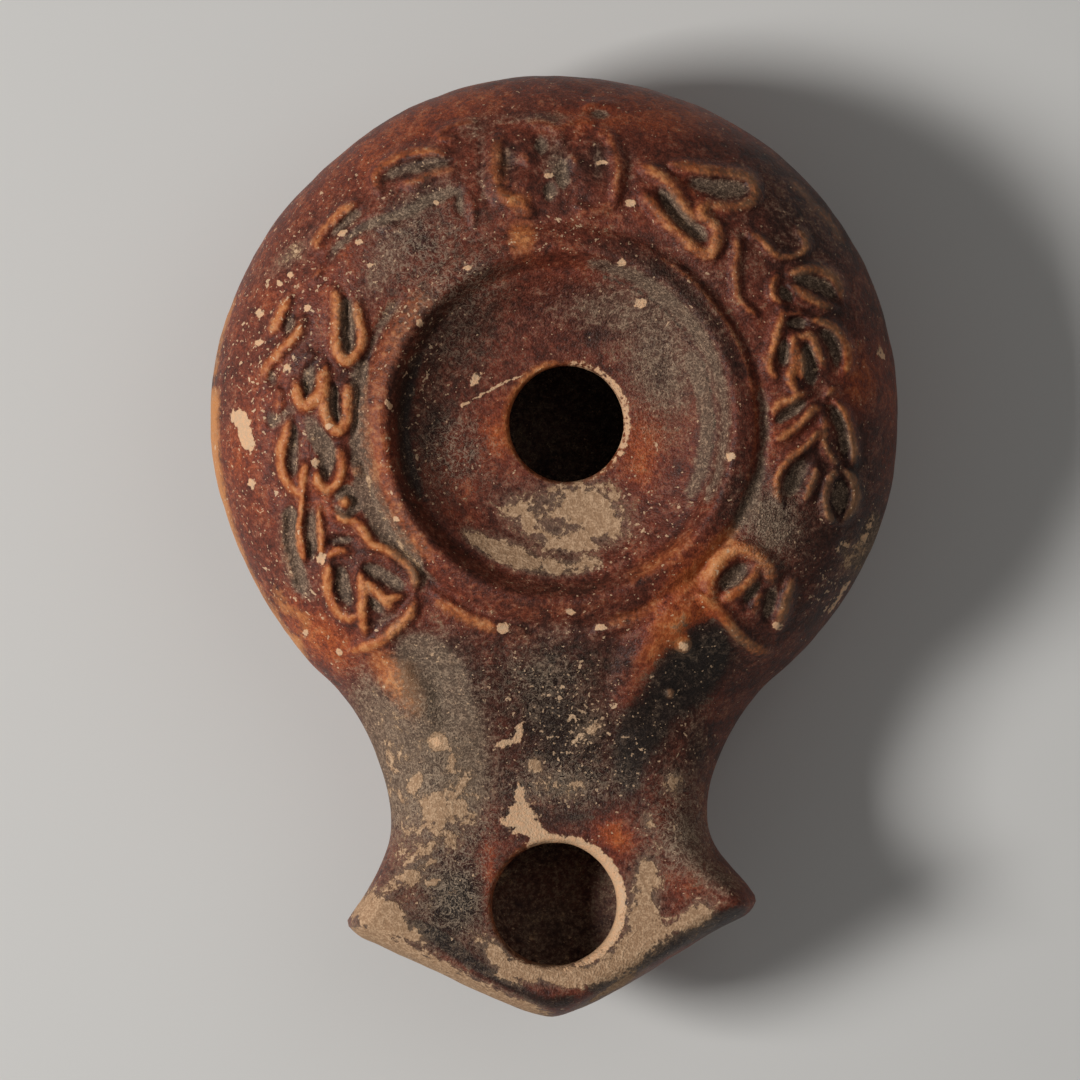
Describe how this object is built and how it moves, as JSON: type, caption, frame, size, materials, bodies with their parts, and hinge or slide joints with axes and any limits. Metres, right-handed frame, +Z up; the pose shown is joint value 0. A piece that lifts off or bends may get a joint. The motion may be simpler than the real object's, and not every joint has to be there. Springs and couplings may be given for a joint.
{
  "type": "roman oil lamp",
  "caption": "Mould-made clay oil lamp with a ringed sunken top, filling hole, carved wreath shoulder and splayed nozzle with a wick hole.",
  "frame": {"origin": "centre of the flat underside of the base disc, under the middle of the round body", "axes": "+Z up out of the filling hole, -Y towards the nozzle's tip, +X to the right as seen from above with the nozzle towards the viewer"},
  "size_m": [0.0723, 0.0988, 0.0308],
  "materials": {
    "fired_clay": "worn red-brown slip over fired clay, mottled, with lime deposits and soot at the nozzle"
  },
  "bodies": {
    "root": {"lamp": "fired_clay"}
  },
  "joints": []
}
